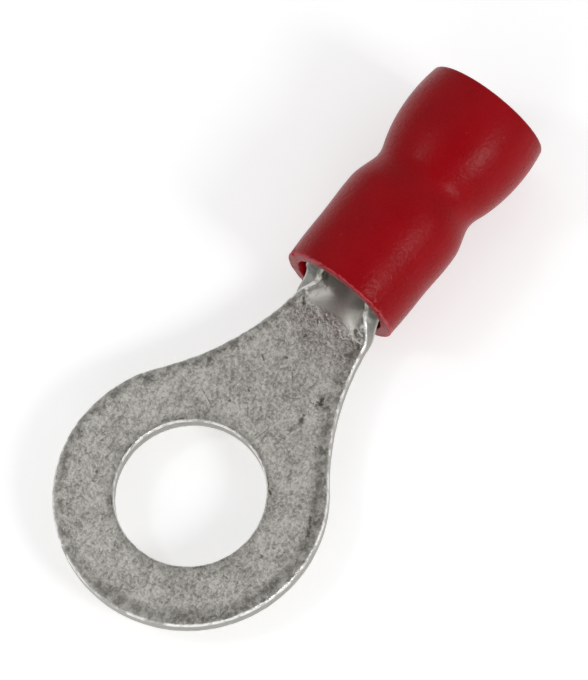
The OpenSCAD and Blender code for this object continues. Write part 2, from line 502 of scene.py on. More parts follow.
@dataclass(frozen=True)
class TinPlating:
    """Worn matt tin plating on stamped copper."""

    pale: Colour = (0.730, 0.708, 0.660, 1.0)
    dull: Colour = (0.330, 0.315, 0.284, 1.0)
    # Dark tint: real soiling, and the painted dark reflection beside the rolled edge.
    soil_and_shade: Colour = (0.080, 0.074, 0.062, 1.0)
    # Light tint: bright scratches, and the painted highlight along the roll, the hole's edge and the neck's shoulders.
    bright: Colour = (0.90, 0.89, 0.86, 1.0)
    sheared: Colour = (0.34, 0.335, 0.315, 1.0)

    def build(self, effects: Effects) -> bpy.types.Material:
        """Makes the material.

        Args:
            effects: The shared node groups.

        Returns:
            The material, for a mesh with edge_gap, hole_gap, curl and level values.
        """
        material, sketch, shader = new_material("tin_plating")
        place = millimetres(sketch)
        edge_gap = surface_value(sketch, "edge_gap")
        hole_gap = surface_value(sketch, "hole_gap")
        curl = surface_value(sketch, "curl")
        level = surface_value(sketch, "level")
        flat = sketch.ramp(curl, 0.40, 0.0)
        top = sketch.ramp(level, 0.62, 0.92)
        wall = sketch.ramp(sketch.sums("ABSOLUTE", level), 0.90, 0.62)

        patches = sketch.group(effects.clouds, "Mask", Vector=place, Scale=0.9, Low=0.35, High=0.65, Detail=3.0)
        mottle = sketch.group(effects.clouds, "Mask", Vector=place, Scale=2.6, Low=0.36, High=0.64, Detail=5.0)
        flecks = sketch.group(effects.clouds, "Mask", Vector=place, Scale=6.5, Low=0.30, High=0.70, Detail=5.0)
        grain = sketch.group(effects.grain, "Height", Vector=place, Scale=13.0, Detail=4.0)
        pits = sketch.group(effects.specks, "Mask", Vector=place, Scale=2.4, Amount=0.30, Size=0.20)
        dots = sketch.group(effects.specks, "Mask", Vector=place, Scale=6.5, Amount=0.22, Size=0.28)
        scratches, glints = self._scratches(sketch, effects, place)

        # Flat faces are mottled, and the rolled metal is smoother and cleaner.
        tone = sketch.sums("MULTIPLY_ADD", grain, 1.3, -0.68)
        tone = sketch.sums("MULTIPLY_ADD", flecks, 0.58, tone)
        tone = sketch.sums("MULTIPLY_ADD", mottle, 0.34, tone)
        tone = sketch.sums("MULTIPLY_ADD", patches, 0.30, tone)
        tone = sketch.sums("MULTIPLY_ADD", flat, sketch.sums("SUBTRACT", tone, 0.60), 0.60, clamp=True)
        colour = sketch.mix(tone, self.dull, self.pale)
        # Soiling in pits and marks, plus a painted dark reflection beside the rolled edge, darkens the top face.
        soil_and_painted_shade = self._soil_and_painted_shade(sketch, effects, place, (edge_gap, hole_gap), (pits, dots, scratches, mottle), flat)
        soil_and_painted_shade = sketch.sums("MULTIPLY", soil_and_painted_shade, top)
        colour = sketch.mix(soil_and_painted_shade, colour, self.soil_and_shade)
        colour = sketch.mix(sketch.sums("MULTIPLY", glints, sketch.sums("MULTIPLY", flat, 0.5)), colour, self.bright)
        colour = sketch.mix(sketch.sums("MULTIPLY", wall, 0.85), colour, self.sheared)
        stained = sketch.sums("MULTIPLY", sketch.sums("MULTIPLY", wall, curl), sketch.sums("MULTIPLY_ADD", mottle, 0.45, 0.15))
        colour = sketch.mix(stained, colour, self.soil_and_shade)

        # The roll carries a painted highlight in broken stretches, partly bright edge wear, and so does the hole's
        # edge.
        painted_highlight_and_wear = sketch.group(
            effects.edge_band, "Mask", Vector=place, Gap=edge_gap, Reach=0.12, Raggedness=0.5, Scale=6.0
        )
        lip = sketch.group(
            effects.edge_band, "Mask", Vector=place, Gap=hole_gap, Reach=0.07, Raggedness=0.5, Scale=6.0
        )
        broken = sketch.group(effects.clouds, "Mask", Vector=place, Scale=2.2, Low=0.38, High=0.58, Detail=4.0)
        painted_highlight_and_wear = sketch.sums("MAXIMUM", painted_highlight_and_wear, lip)
        painted_highlight_and_wear = sketch.sums("MULTIPLY", painted_highlight_and_wear, sketch.sums("MULTIPLY_ADD", broken, 0.8, 0.15))
        painted_highlight_and_wear = sketch.sums("MULTIPLY", painted_highlight_and_wear, sketch.ramp(level, 0.30, 0.62))
        # Painted highlight spots on the neck's shoulders, on the top face only.
        painted_highlight_spots = self._marks(sketch, effects, place, PAINTED_HIGHLIGHT_MARKS)
        painted_highlight_and_wear = sketch.sums("MAXIMUM", painted_highlight_and_wear, sketch.sums("MULTIPLY", painted_highlight_spots, top))
        colour = sketch.mix(painted_highlight_and_wear, colour, self.bright)
        sketch.feed(shader.inputs["Base Color"], colour)

        gloss = sketch.sums("MULTIPLY_ADD", mottle, 0.10, 0.28)
        gloss = sketch.sums("MULTIPLY_ADD", flecks, 0.14, gloss)
        gloss = sketch.sums("MULTIPLY_ADD", soil_and_painted_shade, 0.20, gloss)
        smooth = sketch.sums("MULTIPLY_ADD", patches, 0.05, 0.46)
        gloss = sketch.sums("ADD", smooth, sketch.sums("MULTIPLY", flat, sketch.sums("SUBTRACT", gloss, smooth)))
        gloss = sketch.sums("ADD", gloss, sketch.sums("MULTIPLY", wall, sketch.sums("SUBTRACT", 0.46, gloss)))
        gloss = sketch.sums("MULTIPLY_ADD", painted_highlight_and_wear, -0.14, gloss)
        sketch.feed(shader.inputs["Roughness"], gloss)
        shader.inputs["Metallic"].default_value = 1.0

        height = sketch.sums("MULTIPLY_ADD", flecks, 1.1, sketch.sums("MULTIPLY", grain, 0.8))
        height = sketch.sums("MULTIPLY_ADD", mottle, 0.5, height)
        height = sketch.sums("MULTIPLY", height, sketch.sums("MULTIPLY_ADD", flat, 0.85, 0.15))
        height = sketch.sums("MULTIPLY_ADD", pits, -1.0, height)
        height = sketch.sums("MULTIPLY_ADD", scratches, -0.7, height)
        height = sketch.sums("MULTIPLY_ADD", glints, -0.5, height)
        height = sketch.sums("MULTIPLY_ADD", dots, -0.5, height)
        bump = sketch.node("ShaderNodeBump", {"Height": height, "Strength": 0.75, "Distance": 0.016 * MM})
        sketch.feed(shader.inputs["Normal"], bump.outputs[0])
        return material

    @staticmethod
    def _scratches(sketch: Sketch, effects: Effects, place: Socket) -> tuple[Socket, Socket]:
        """Adds hairline scratches in several directions.

        Args:
            sketch: The material's sketch.
            effects: The shared node groups.
            place: The place on the surface, in millimetres.

        Returns:
            The masks of the dark scratches and of the bright ones.
        """
        dark: Socket | None = None
        bright: Socket | None = None
        for index, (angle, scale, length, amount) in enumerate(
            ((12, 5.0, 9.0, 0.22), (-38, 4.2, 7.0, 0.18), (71, 4.6, 6.0, 0.16), (33, 6.0, 5.0, 0.22), (-70, 5.6, 6.0, 0.20))
        ):
            made = sketch.group(
                effects.hairlines,
                "Mask",
                Vector=place,
                Scale=scale,
                Angle=math.radians(angle),
                Length=length,
                Width=0.17,
                Amount=amount,
            )
            if index < 3:
                dark = made if dark is None else sketch.sums("MAXIMUM", dark, made)
            else:
                bright = made if bright is None else sketch.sums("MAXIMUM", bright, made)
        return dark, bright

    @classmethod
    def _soil_and_painted_shade(
        cls,
        sketch: Sketch,
        effects: Effects,
        place: Socket,
        gaps: tuple[Socket, Socket],
        marks: tuple[Socket, Socket, Socket, Socket],
        flat: Socket,
    ) -> Socket:
        """Adds soiling in the pits and marks, a painted dark reflection beside the rolled edge, and a darker band
        around the hole.

        Args:
            sketch: The material's sketch.
            effects: The shared node groups.
            place: The place on the surface, in millimetres.
            gaps: The distances from the outline and from the hole.
            marks: The pits, the dots, the scratches and the mottling.
            flat: Where the sheet is flat.

        Returns:
            The mask of the soiling and of the painted dark reflection.
        """
        edge_gap, hole_gap = gaps
        pits, dots, scratches, mottle = marks
        # Painted dark reflection: a ragged darker band all along the outline, inside the rolled edge.
        rim = sketch.group(
            effects.edge_band, "Mask", Vector=place, Gap=edge_gap, Reach=0.70, Raggedness=0.8, Scale=3.6
        )
        ring_band = sketch.group(
            effects.edge_band, "Mask", Vector=place, Gap=hole_gap, Reach=0.48, Raggedness=0.5, Scale=3.0
        )
        soil_and_painted_shade = sketch.sums("MULTIPLY", pits, 0.65)
        soil_and_painted_shade = sketch.sums("MAXIMUM", soil_and_painted_shade, sketch.sums("MULTIPLY", dots, 0.45))
        soil_and_painted_shade = sketch.sums("MAXIMUM", soil_and_painted_shade, sketch.sums("MULTIPLY", scratches, 0.45))
        soil_and_painted_shade = sketch.sums("MULTIPLY", soil_and_painted_shade, flat)
        ragged = sketch.sums("MULTIPLY_ADD", sketch.sums("SUBTRACT", 1.0, mottle), 0.50, 0.18)
        soil_and_painted_shade = sketch.sums("MAXIMUM", soil_and_painted_shade, sketch.sums("MULTIPLY", rim, ragged))
        # Painted dark reflection: the band just inside the rolled edge is darkest along the front of the ring and one
        # flank, on the side toward the camera.
        front = sketch.ramp(sketch.vector_sums("DOT_PRODUCT", place, (-0.45, -0.90, 0.0), "Value"), -2.6, 2.4)
        inside = sketch.sums("MULTIPLY", sketch.ramp(edge_gap, 0.12, 0.24), sketch.ramp(edge_gap, 0.86, 0.46))
        rolled = sketch.sums("MULTIPLY", sketch.sums("MULTIPLY", inside, front), sketch.sums("MULTIPLY_ADD", ragged, 0.45, 0.24))
        soil_and_painted_shade = sketch.sums("MAXIMUM", soil_and_painted_shade, rolled)
        # A faint darker band around the hole.
        soil_and_painted_shade = sketch.sums("MAXIMUM", soil_and_painted_shade, sketch.sums("MULTIPLY", ring_band, 0.26))
        return sketch.sums("MAXIMUM", soil_and_painted_shade, cls._marks(sketch, effects, place, TONGUE_MARKS))

    @staticmethod
    def _marks(sketch: Sketch, effects: Effects, place: Socket, marks: Sequence[Mark]) -> Socket:
        """Adds a set of stained places, or of painted highlight spots.

        Args:
            sketch: The material's sketch.
            effects: The shared node groups.
            place: The place on the surface, in millimetres.
            marks: The places.

        Returns:
            The mask of all of them.
        """
        mask: Socket | None = None
        for mark in marks:
            shown = sketch.group(
                effects.trail,
                "Mask",
                Vector=place,
                Start=(*mark.start, 0.0),
                End=(*mark.end, 0.0),
                Width=mark.width,
                Raggedness=mark.raggedness,
                Scale=5.5,
            )
            shown = sketch.sums("MULTIPLY", shown, mark.strength)
            mask = shown if mask is None else sketch.sums("MAXIMUM", mask, shown)
        return mask


@dataclass(frozen=True)
class RedVinyl:
    """Satin red moulded vinyl with a fine grain."""

    body: Colour = (0.335, 0.0026, 0.0070, 1.0)
    deep: Colour = (0.280, 0.0015, 0.0045, 1.0)
    scuffed: Colour = (0.55, 0.075, 0.095, 1.0)

    def build(self, effects: Effects) -> bpy.types.Material:
        """Makes the material.

        Args:
            effects: The shared node groups.

        Returns:
            The material, for a mesh with rim_gap and tail_gap values.
        """
        material, sketch, shader = new_material("red_vinyl")
        place = millimetres(sketch)
        rim_gap = surface_value(sketch, "rim_gap")
        tail_gap = surface_value(sketch, "tail_gap")
        patches = sketch.group(effects.clouds, "Mask", Vector=place, Scale=0.7, Low=0.35, High=0.65, Detail=3.0)
        grain = sketch.group(effects.grain, "Height", Vector=place, Scale=7.0, Detail=4.0)
        coarse = sketch.group(effects.grain, "Height", Vector=place, Scale=3.0, Detail=2.0)
        specks = sketch.group(effects.specks, "Mask", Vector=place, Scale=3.2, Amount=0.10, Size=0.16)
        tone = sketch.sums("MULTIPLY_ADD", patches, 0.45, sketch.sums("MULTIPLY", grain, 0.55), clamp=True)
        colour = sketch.mix(tone, self.deep, self.body)
        rim = sketch.group(
            effects.edge_band, "Mask", Vector=place, Gap=rim_gap, Reach=0.085, Raggedness=0.8, Scale=4.0
        )
        tail = sketch.group(
            effects.edge_band, "Mask", Vector=place, Gap=tail_gap, Reach=0.06, Raggedness=0.6, Scale=3.0
        )
        worn = sketch.sums("MAXIMUM", rim, sketch.sums("MULTIPLY", tail, 0.55))
        worn = sketch.sums("MAXIMUM", sketch.sums("MULTIPLY", worn, 0.8), sketch.sums("MULTIPLY", specks, 0.18))
        colour = sketch.mix(worn, colour, self.scuffed)
        sketch.feed(shader.inputs["Base Color"], colour)
        gloss = sketch.sums("MULTIPLY_ADD", grain, 0.14, 0.20)
        gloss = sketch.sums("MULTIPLY_ADD", patches, 0.05, gloss)
        gloss = sketch.sums("MULTIPLY_ADD", worn, 0.15, gloss)
        sketch.feed(shader.inputs["Roughness"], gloss)
        shader.inputs["Specular IOR Level"].default_value = 0.10
        height = sketch.sums("MULTIPLY_ADD", coarse, 0.8, grain)
        height = sketch.sums("MULTIPLY_ADD", specks, 0.35, height)
        bump = sketch.node("ShaderNodeBump", {"Height": height, "Strength": 0.7, "Distance": 0.026 * MM})
        sketch.feed(shader.inputs["Normal"], bump.outputs[0])
        return material


@dataclass(frozen=True)
class FloorPaint:
    """Plain pale matt paint, which reads as white where nothing shades it."""

    paint: Colour = (0.76, 0.76, 0.76, 1.0)
    lift: float = 0.46

    def build(self, effects: Effects) -> bpy.types.Material:
        """Makes the material.

        Args:
            effects: The shared node groups.

        Returns:
            The material.
        """
        material, sketch, shader = new_material("floor_paint")
        place = millimetres(sketch)
        patches = sketch.group(effects.clouds, "Mask", Vector=place, Scale=0.02, Low=0.3, High=0.7, Detail=2.0)
        low = tuple(c * 0.985 for c in self.paint[:3]) + (1.0,)
        sketch.feed(shader.inputs["Base Color"], sketch.mix(patches, self.paint, low))
        shader.inputs["Roughness"].default_value = 0.9
        shader.inputs["Specular IOR Level"].default_value = 0.1
        path = sketch.node("ShaderNodeLightPath").outputs
        seen = sketch.sums("MAXIMUM", path["Is Camera Ray"], path["Is Glossy Ray"])
        seen = sketch.sums("MAXIMUM", seen, path["Is Transmission Ray"])
        shader.inputs["Emission Color"].default_value = (1.0, 1.0, 1.0, 1.0)
        sketch.feed(shader.inputs["Emission Strength"], sketch.sums("MULTIPLY", seen, self.lift))
        return material


# ---------------------------------------------------------------------------
# The terminal
# ---------------------------------------------------------------------------


@dataclass(frozen=True)
class EdgePoint:
    """A point of the blank's outline, with the way out and its edges' radii."""

    x: float
    u: float
    out_x: float
    out_u: float
    top_r: float
    under_r: float
    swell: float

    def mirrored(self) -> "EdgePoint":
        """Returns the same point on the blank's other half."""
        return EdgePoint(self.x, -self.u, self.out_x, -self.out_u, self.top_r, self.under_r, self.swell)


@dataclass
class RingTerminal:
    """The stamped and rolled metal terminal, with its sizes in millimetres."""

    ring_r: float = 5.8
    hole_r: float = 3.2
    stock: float = 0.8
    neck_half: float = 1.84
    neck_reach: float = 0.64
    barrel_x: float = 10.55
    barrel_end: float = 15.55
    barrel_r: float = 1.95
    roll_len: float = 0.8
    mouth_ahead: float = 0.25
    fillet_r: float = 0.5
    wing_slant: float = 0.9
    wing_square: float = 0.15
    seam_gap: float = 0.06
    top_edge: float = 0.14
    hole_edge: float = 0.07
    barrel_edge: float = 0.05
    rear_edge: float = 0.13
    groove_middles: tuple[float, ...] = (12.1, 13.05, 14.0)
    groove_half: float = 0.15
    groove_depth: float = 0.12
    swell_reach: float = 0.85
    swell_depth: float = 0.075

    def __post_init__(self) -> None:
        """Works out the sizes that follow from the others."""
        self.mid_r = self.barrel_r - self.stock / 2
        self.roll_end = self.barrel_x + 0.05
        self.roll_x = self.barrel_x - self.mouth_ahead - self.roll_len - 0.15
        self.fillet_x = self.barrel_x - self.fillet_r
        self.flank_x = self.barrel_x + self.neck_reach
        self.flank_r = (self.flank_x**2 + self.neck_half**2 - self.ring_r**2) / (2 * (self.ring_r - self.neck_half))
        self.flank_y = self.neck_half + self.flank_r
        self.join_angle = math.atan2(self.flank_y, self.flank_x)
        self.join_x = self.ring_r * math.cos(self.join_angle)
        self.wing_half = math.pi * self.mid_r - self.seam_gap / 2

    @classmethod
    def from_frame(cls) -> "RingTerminal":
        """Takes the ring's, barrel's and length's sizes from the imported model."""
        low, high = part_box("terminal")
        return cls(ring_r=-low.x / MM, barrel_end=high.x / MM, barrel_r=high.z / MM / 2)

    def curl(self, x: float) -> float:
        """Returns how far the sheet is rolled up at x, from 0 to 1."""
        share = min(1.0, max(0.0, (x - self.roll_x) / (self.roll_end - self.roll_x)))
        return share * share * (3 - 2 * share)

    def bent(self, x: float, u: float, h: float) -> Vector:
        """Places a point of the sheet, whose curve tightens evenly up to the barrel's.

        Args:
            x: The distance along the terminal.
            u: The distance across the sheet, measured along it.
            h: The height above the sheet's middle surface.

        Returns:
            The point, in millimetres.
        """
        curl = self.curl(x)
        if curl < 1e-4:
            return Vector((x, u, self.stock / 2 + h))
        radius = self.mid_r / curl
        turn = u / radius
        return Vector((x, (radius - h) * math.sin(turn), self.stock / 2 + radius - (radius - h) * math.cos(turn)))

    def wing_front(self, u: float) -> float:
        """Returns where the wing's front edge is, which slants back towards the seam."""
        rise = -self.mid_r * math.cos(u / self.mid_r) - self.wing_square
        return self.barrel_x + self.wing_slant * max(0.0, rise) / (self.barrel_r - self.wing_square)

    def half_width(self, x: float) -> float:
        """Returns half the blank's width at x, measured along the sheet."""
        if x < self.join_x:
            return math.sqrt(max(0.0, self.ring_r**2 - x * x))
        if x > self.barrel_x:
            return self.wing_half
        half = self.flank_y - math.sqrt(self.flank_r**2 - (self.flank_x - x) ** 2)
        if x > self.fillet_x:
            half += self.fillet_r - math.sqrt(max(0.0, self.fillet_r**2 - (x - self.fillet_x) ** 2))
        return half

    def groove(self, x: float) -> float:
        """Returns how deep the grip grooves cut into the bore at x."""
        if x < self.barrel_x:
            return 0.0
        near = min(abs(x - middle) for middle in self.groove_middles)
        share = min(1.0, max(0.0, (self.groove_half + 0.04 - near) / 0.04))
        return self.groove_depth * share

    def _ring_arc(self) -> list[EdgePoint]:
        """Returns the ring's outline from its front to where the flank starts."""
        steps = 100
        angles = [math.pi + (self.join_angle - math.pi) * i / steps for i in range(steps)]
        return [
            EdgePoint(
                self.ring_r * math.cos(a),
                self.ring_r * math.sin(a),
                math.cos(a),
                math.sin(a),
                self.top_edge,
                0.03,
                1.0,
            )
            for a in angles
        ]

    def _flank(self) -> list[EdgePoint]:
        """Returns the hollow flank and the corner between neck and wing."""
        made = []
        steps = 56
        for i in range(steps):
            x = self.join_x + (self.fillet_x - self.join_x) * i / steps
            u = self.half_width(x)
            away = Vector((self.flank_x - x, self.flank_y - u)).normalized()
            swell = 1.0 - 0.55 * self._share(x, 8.6, self.fillet_x)
            made.append(EdgePoint(x, u, away.x, away.y, self.top_edge, 0.03, swell))
        steps = 12
        for i in range(steps + 1):
            turn = math.radians(90) * i / steps
            x = self.fillet_x + self.fillet_r * math.sin(turn)
            u = self.half_width(x)
            slope = (self.flank_x - x) / math.sqrt(self.flank_r**2 - (self.flank_x - x) ** 2)
            away = Vector((math.tan(min(turn, math.radians(89.9))) * -1 + slope, 1)).normalized()
            share = i / steps
            edge = self.top_edge + (self.barrel_edge - self.top_edge) * share
            made.append(EdgePoint(x, u, away.x, away.y, edge, 0.03, 0.45 * (1 - share)))
        return made

    @staticmethod
    def _share(x: float, low: float, high: float) -> float:
        """Returns where x lies between low and high, from 0 to 1."""
        return min(1.0, max(0.0, (x - low) / (high - low)))

    def _wing(self) -> list[EdgePoint]:
        """Returns the wing's front, its seam edge and half of the rear edge."""
        made = []
        front_c, rear_c = 0.10, 0.18
        start = self.half_width(self.barrel_x - 1e-9)
        steps = 22
        for i in range(1, steps):
            u = start + (self.wing_half - front_c - start) * i / steps
            slope = (self.wing_front(u + 0.02) - self.wing_front(u - 0.02)) / 0.04
            away = Vector((-1.0, slope)).normalized()
            made.append(EdgePoint(self.wing_front(u), u, away.x, away.y, self.barrel_edge, 0.03, 0.0))
        corner = self.wing_front(self.wing_half)
        for i in range(5):
            turn = math.radians(180 - 90 * i / 4)
            x = corner + front_c + front_c * math.cos(turn)
            u = self.wing_half - front_c + front_c * math.sin(turn)
            made.append(EdgePoint(x, u, math.cos(turn), math.sin(turn), self.barrel_edge, 0.03, 0.0))
        steps = 52
        first, last = corner + front_c, self.barrel_end - rear_c
        for i in range(1, steps):
            x = first + (last - first) * i / steps
            made.append(EdgePoint(x, self.wing_half, 0.0, 1.0, self.barrel_edge, 0.03, 0.0))
        for i in range(6):
            turn = math.radians(90 - 90 * i / 5)
            x = self.barrel_end - rear_c + rear_c * math.cos(turn)
            u = self.wing_half - rear_c + rear_c * math.sin(turn)
            edge = self.barrel_edge + (self.rear_edge - self.barrel_edge) * i / 5
            made.append(EdgePoint(x, u, math.cos(turn), math.sin(turn), edge, max(0.03, edge * 0.9), 0.0))
        steps = 30
        for i in range(1, steps):
            u = (self.wing_half - rear_c) * (1 - i / steps)
            made.append(EdgePoint(self.barrel_end, u, 1.0, 0.0, self.rear_edge, self.rear_edge * 0.9, 0.0))
        return made

    def outline(self) -> list[EdgePoint]:
        """Returns the blank's whole outline, in order."""
        upper = self._ring_arc() + self._flank() + self._wing()
        middle = EdgePoint(self.barrel_end, 0.0, 1.0, 0.0, self.rear_edge, self.rear_edge * 0.9, 0.0)
        return upper + [middle] + [p.mirrored() for p in reversed(upper[1:])]

    def hole_outline(self) -> list[EdgePoint]:
        """Returns the stud hole's outline, in order."""
        steps = 132
        turns = [2 * math.pi * i / steps for i in range(steps)]
        return [
            EdgePoint(
                self.hole_r * math.cos(a),
                self.hole_r * math.sin(a),
                -math.cos(a),
                -math.sin(a),
                self.hole_edge,
                0.03,
                0.0,
            )
            for a in turns
        ]

    def _inner_points(self) -> list[Plan]:
        """Returns the points that fill the blank, denser where it is rolled."""
        made: list[Plan] = []
        x = -self.ring_r
        row = 0
        while x < self.barrel_end:
            fine = self.roll_x - 0.3 < x < self.barrel_x + 0.05
            if x < self.roll_x - 0.3:
                step, across = 0.16, 0.17
            elif fine:
                step, across = 0.065, 0.085
            else:
                break
            count = int(self.half_width(x) / across)
            made += [(x, (i + 0.5 * (row % 2)) * across) for i in range(-count - 1, count + 1)]
            x += step
            row += 1
        stations = [self.barrel_x + 0.06 + 0.11 * i for i in range(45)]
        cuts = [
            middle + side * reach
            for middle in self.groove_middles
            for side in (-1, 1)
            for reach in (0.0, 0.075, self.groove_half, self.groove_half + 0.04)
        ]
        stations = sorted({s for s in stations if min(abs(s - c) for c in cuts) > 0.035} | set(cuts))
        for station in stations:
            made += [(station, 0.15 * i) for i in range(-32, 33)]
        return made

    def _profile(self, edge: EdgePoint, seed: float) -> list[tuple[float, float]]:
        """Returns an edge's section, from the top face to the underside.

        Args:
            edge: The outline's point.
            seed: Moves the section a little in or out, for a stamped edge's unevenness.

        Returns:
            Pairs of how far in from the outline, and the height.
        """
        half = self.stock / 2
        top, under = edge.top_r, edge.under_r
        made: list[tuple[float, float]] = []
        fall = self.swell_depth * edge.swell
        for share in (1.0, 0.72, 0.48, 0.26):
            if edge.swell > 0:
                inset = top + (self.swell_reach - top) * share * edge.swell
                made.append((inset, half - fall * (1 - share) ** 2))
            else:
                made.append((top + 0.005 + 0.03 * share, half))
        base = half - fall
        for i in range(6):
            turn = math.radians(90 * (1 - i / 5))
            made.append((top - top * math.cos(turn) + seed, base - top + top * math.sin(turn)))
        low = -half + under
        for i in range(1, 5):
            made.append((seed + 0.006 * math.sin(math.pi * i / 5), base - top + (low - base + top) * i / 5))
        for i in range(4):
            turn = math.radians(90 * i / 3)
            made.append((under - under * math.cos(turn) + seed, low - under * math.sin(turn)))
        made.append((under + 0.04, -half))
        return made

    def build(self) -> bpy.types.Object:
        """Builds the terminal's mesh.

        Returns:
            The object, which carries edge_gap, hole_gap, curl and level values.
        """
        points: list[Vector] = []
        plans: list[tuple[float, float, float]] = []
        faces: list[list[int]] = []
        half = self.stock / 2

        def add(x: float, u: float, h: float) -> int:
            """Adds a point of the sheet and returns its number."""
            raised = min(h, half - self.groove(x))
            points.append(self.bent(x, u, raised))
            plans.append((x, u, raised))
            return len(points) - 1

        top_loops: list[list[int]] = []
        under_loops: list[list[int]] = []
        for outline in (self.outline(), self.hole_outline()):
            rows = []
            for edge in outline:
                place = Vector((edge.x, edge.u, 0.0))
                uneven = 0.006 * (1 + noise.noise(place * 2.1)) if edge.top_r > 0.1 and edge.swell > 0 else 0.0
                rows.append(
                    [
                        add(edge.x - edge.out_x * inset, edge.u - edge.out_u * inset, h)
                        for inset, h in self._profile(edge, uneven)
                    ]
                )
            count = len(rows)
            for i, row in enumerate(rows):
                following = rows[(i + 1) % count]
                for j in range(len(row) - 1):
                    faces.append([row[j], following[j], following[j + 1], row[j + 1]])
            top_loops.append([row[0] for row in rows])
            under_loops.append([row[-1] for row in rows])

        inner = self._inner_points()
        for loops, h, upward in ((top_loops, half, True), (under_loops, -half, False)):
            faces += self._filled(loops, inner, h, upward, add, plans)

        self._face_outwards(points, faces)
        edge_points = np.array([(e.x, e.u) for e in self.outline()])
        here = np.array([(x, u) for x, u, _ in plans])
        gaps = np.concatenate(
            [np.sqrt(((part[:, None, :] - edge_points[None]) ** 2).sum(2)).min(1) for part in np.array_split(here, 24)]
        )
        values = {
            "edge_gap": gaps,
            "hole_gap": np.maximum(0.0, np.hypot(here[:, 0], here[:, 1]) - self.hole_r),
            "curl": [self.curl(x) for x, _, _ in plans],
            "level": [h / half for _, _, h in plans],
        }
        return new_mesh_object("ring_terminal", points, faces, values)

    def _filled(
        self,
        loops: list[list[int]],
        inner: list[Plan],
        h: float,
        upward: bool,
        add: Callable[[float, float, float], int],
        plans: list[tuple[float, float, float]],
    ) -> list[list[int]]:
        """Fills one face of the sheet with triangles.

        Args:
            loops: The point numbers around the outline and around the hole.
            inner: Points inside the blank.
            h: The face's height.
            upward: Whether this is the top face; not used.
            add: Adds a point to the mesh.
            plans: The place in the blank of each point so far.

        Returns:
            The triangles.
        """
        numbers = [n for loop in loops for n in loop]
        spots = [plans[n][:2] for n in numbers]
        rings = []
        start = 0
        for loop in loops:
            size = len(loop)
            rings += [(start + i, start + (i + 1) % size) for i in range(size)]
            start += size
        around = np.array(spots)
        hole_limit = np.hypot(*np.array(spots[len(loops[0]) :]).T).max()
        outer = around[: len(loops[0])]
        kept = []
        for x, u in inner:
            near = np.hypot(around[:, 0] - x, around[:, 1] - u).min()
            inside = geometry_inside(outer, x, u)
            if inside and near > 0.05 and math.hypot(x, u) > hole_limit + 0.03:
                kept.append((x, u))
        spots += kept
        flat = [Vector(s) for s in spots]
        made, _, tris, origins, _, _ = geometry.delaunay_2d_cdt(flat, rings, [], 1, 1e-6)
        lookup = []
        for i, spot in enumerate(made):
            source = origins[i][0]
            if source < len(numbers):
                lookup.append(numbers[source])
            else:
                lookup.append(add(spot[0], spot[1], h))
        result = []
        for tri in tris:
            middle = sum((made[i] for i in tri), Vector((0.0, 0.0))) / len(tri)
            if middle.length < hole_limit - 0.02 and self._in_hole([made[i] for i in tri], hole_limit):
                continue
            result.append([lookup[i] for i in tri])
        return result

    @staticmethod
    def _in_hole(corners: Sequence[Vector], limit: float) -> bool:
        """Returns whether a triangle lies inside the stud hole."""
        return all(corner.length < limit + 1e-4 for corner in corners)

    @staticmethod
    def _face_outwards(points: list[Vector], faces: list[list[int]]) -> None:
        """Turns every face the same way, outwards, in place."""
        mesh = bpy.data.meshes.new("sorting")
        mesh.from_pydata(points, [], faces)
        work = bmesh.new()
        work.from_mesh(mesh)
        bmesh.ops.recalc_face_normals(work, faces=work.faces)
        faces[:] = [[v.index for v in f.verts] for f in work.faces]
        work.free()
        bpy.data.meshes.remove(mesh)

    def dress(self, piece: bpy.types.Object, plating: bpy.types.Material) -> None:
        """Gives the terminal its plating and its place in the model."""
        piece.data.materials.append(plating)
        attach(piece, "root")
        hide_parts("terminal")


def geometry_inside(outline: np.ndarray, x: float, u: float) -> bool:
    """Returns whether a point lies inside an outline.

    Args:
        outline: The outline's points, in order.
        x: The point's first coordinate.
        u: The point's second coordinate.

    Returns:
        True if it lies inside.
    """
    after = np.roll(outline, -1, axis=0)
    spans = (outline[:, 1] > u) != (after[:, 1] > u)
    rise = np.where(spans, after[:, 1] - outline[:, 1], 1.0)
    crossing = outline[:, 0] + (u - outline[:, 1]) * (after[:, 0] - outline[:, 0]) / rise
    return bool((spans & (crossing > x)).sum() % 2)


# ---------------------------------------------------------------------------
# The sleeve
# ---------------------------------------------------------------------------


class Place(Enum):
    """Where a point of the sleeve's section lies."""

    OUTSIDE = "outside"
    INSIDE = "inside"
    MOUTH = "mouth"
    TAIL = "tail"


@dataclass(frozen=True)
class SectionPoint:
    """A point of the sleeve's half section: along, out, and where it lies."""

    along: float
    out: float
    where: Place


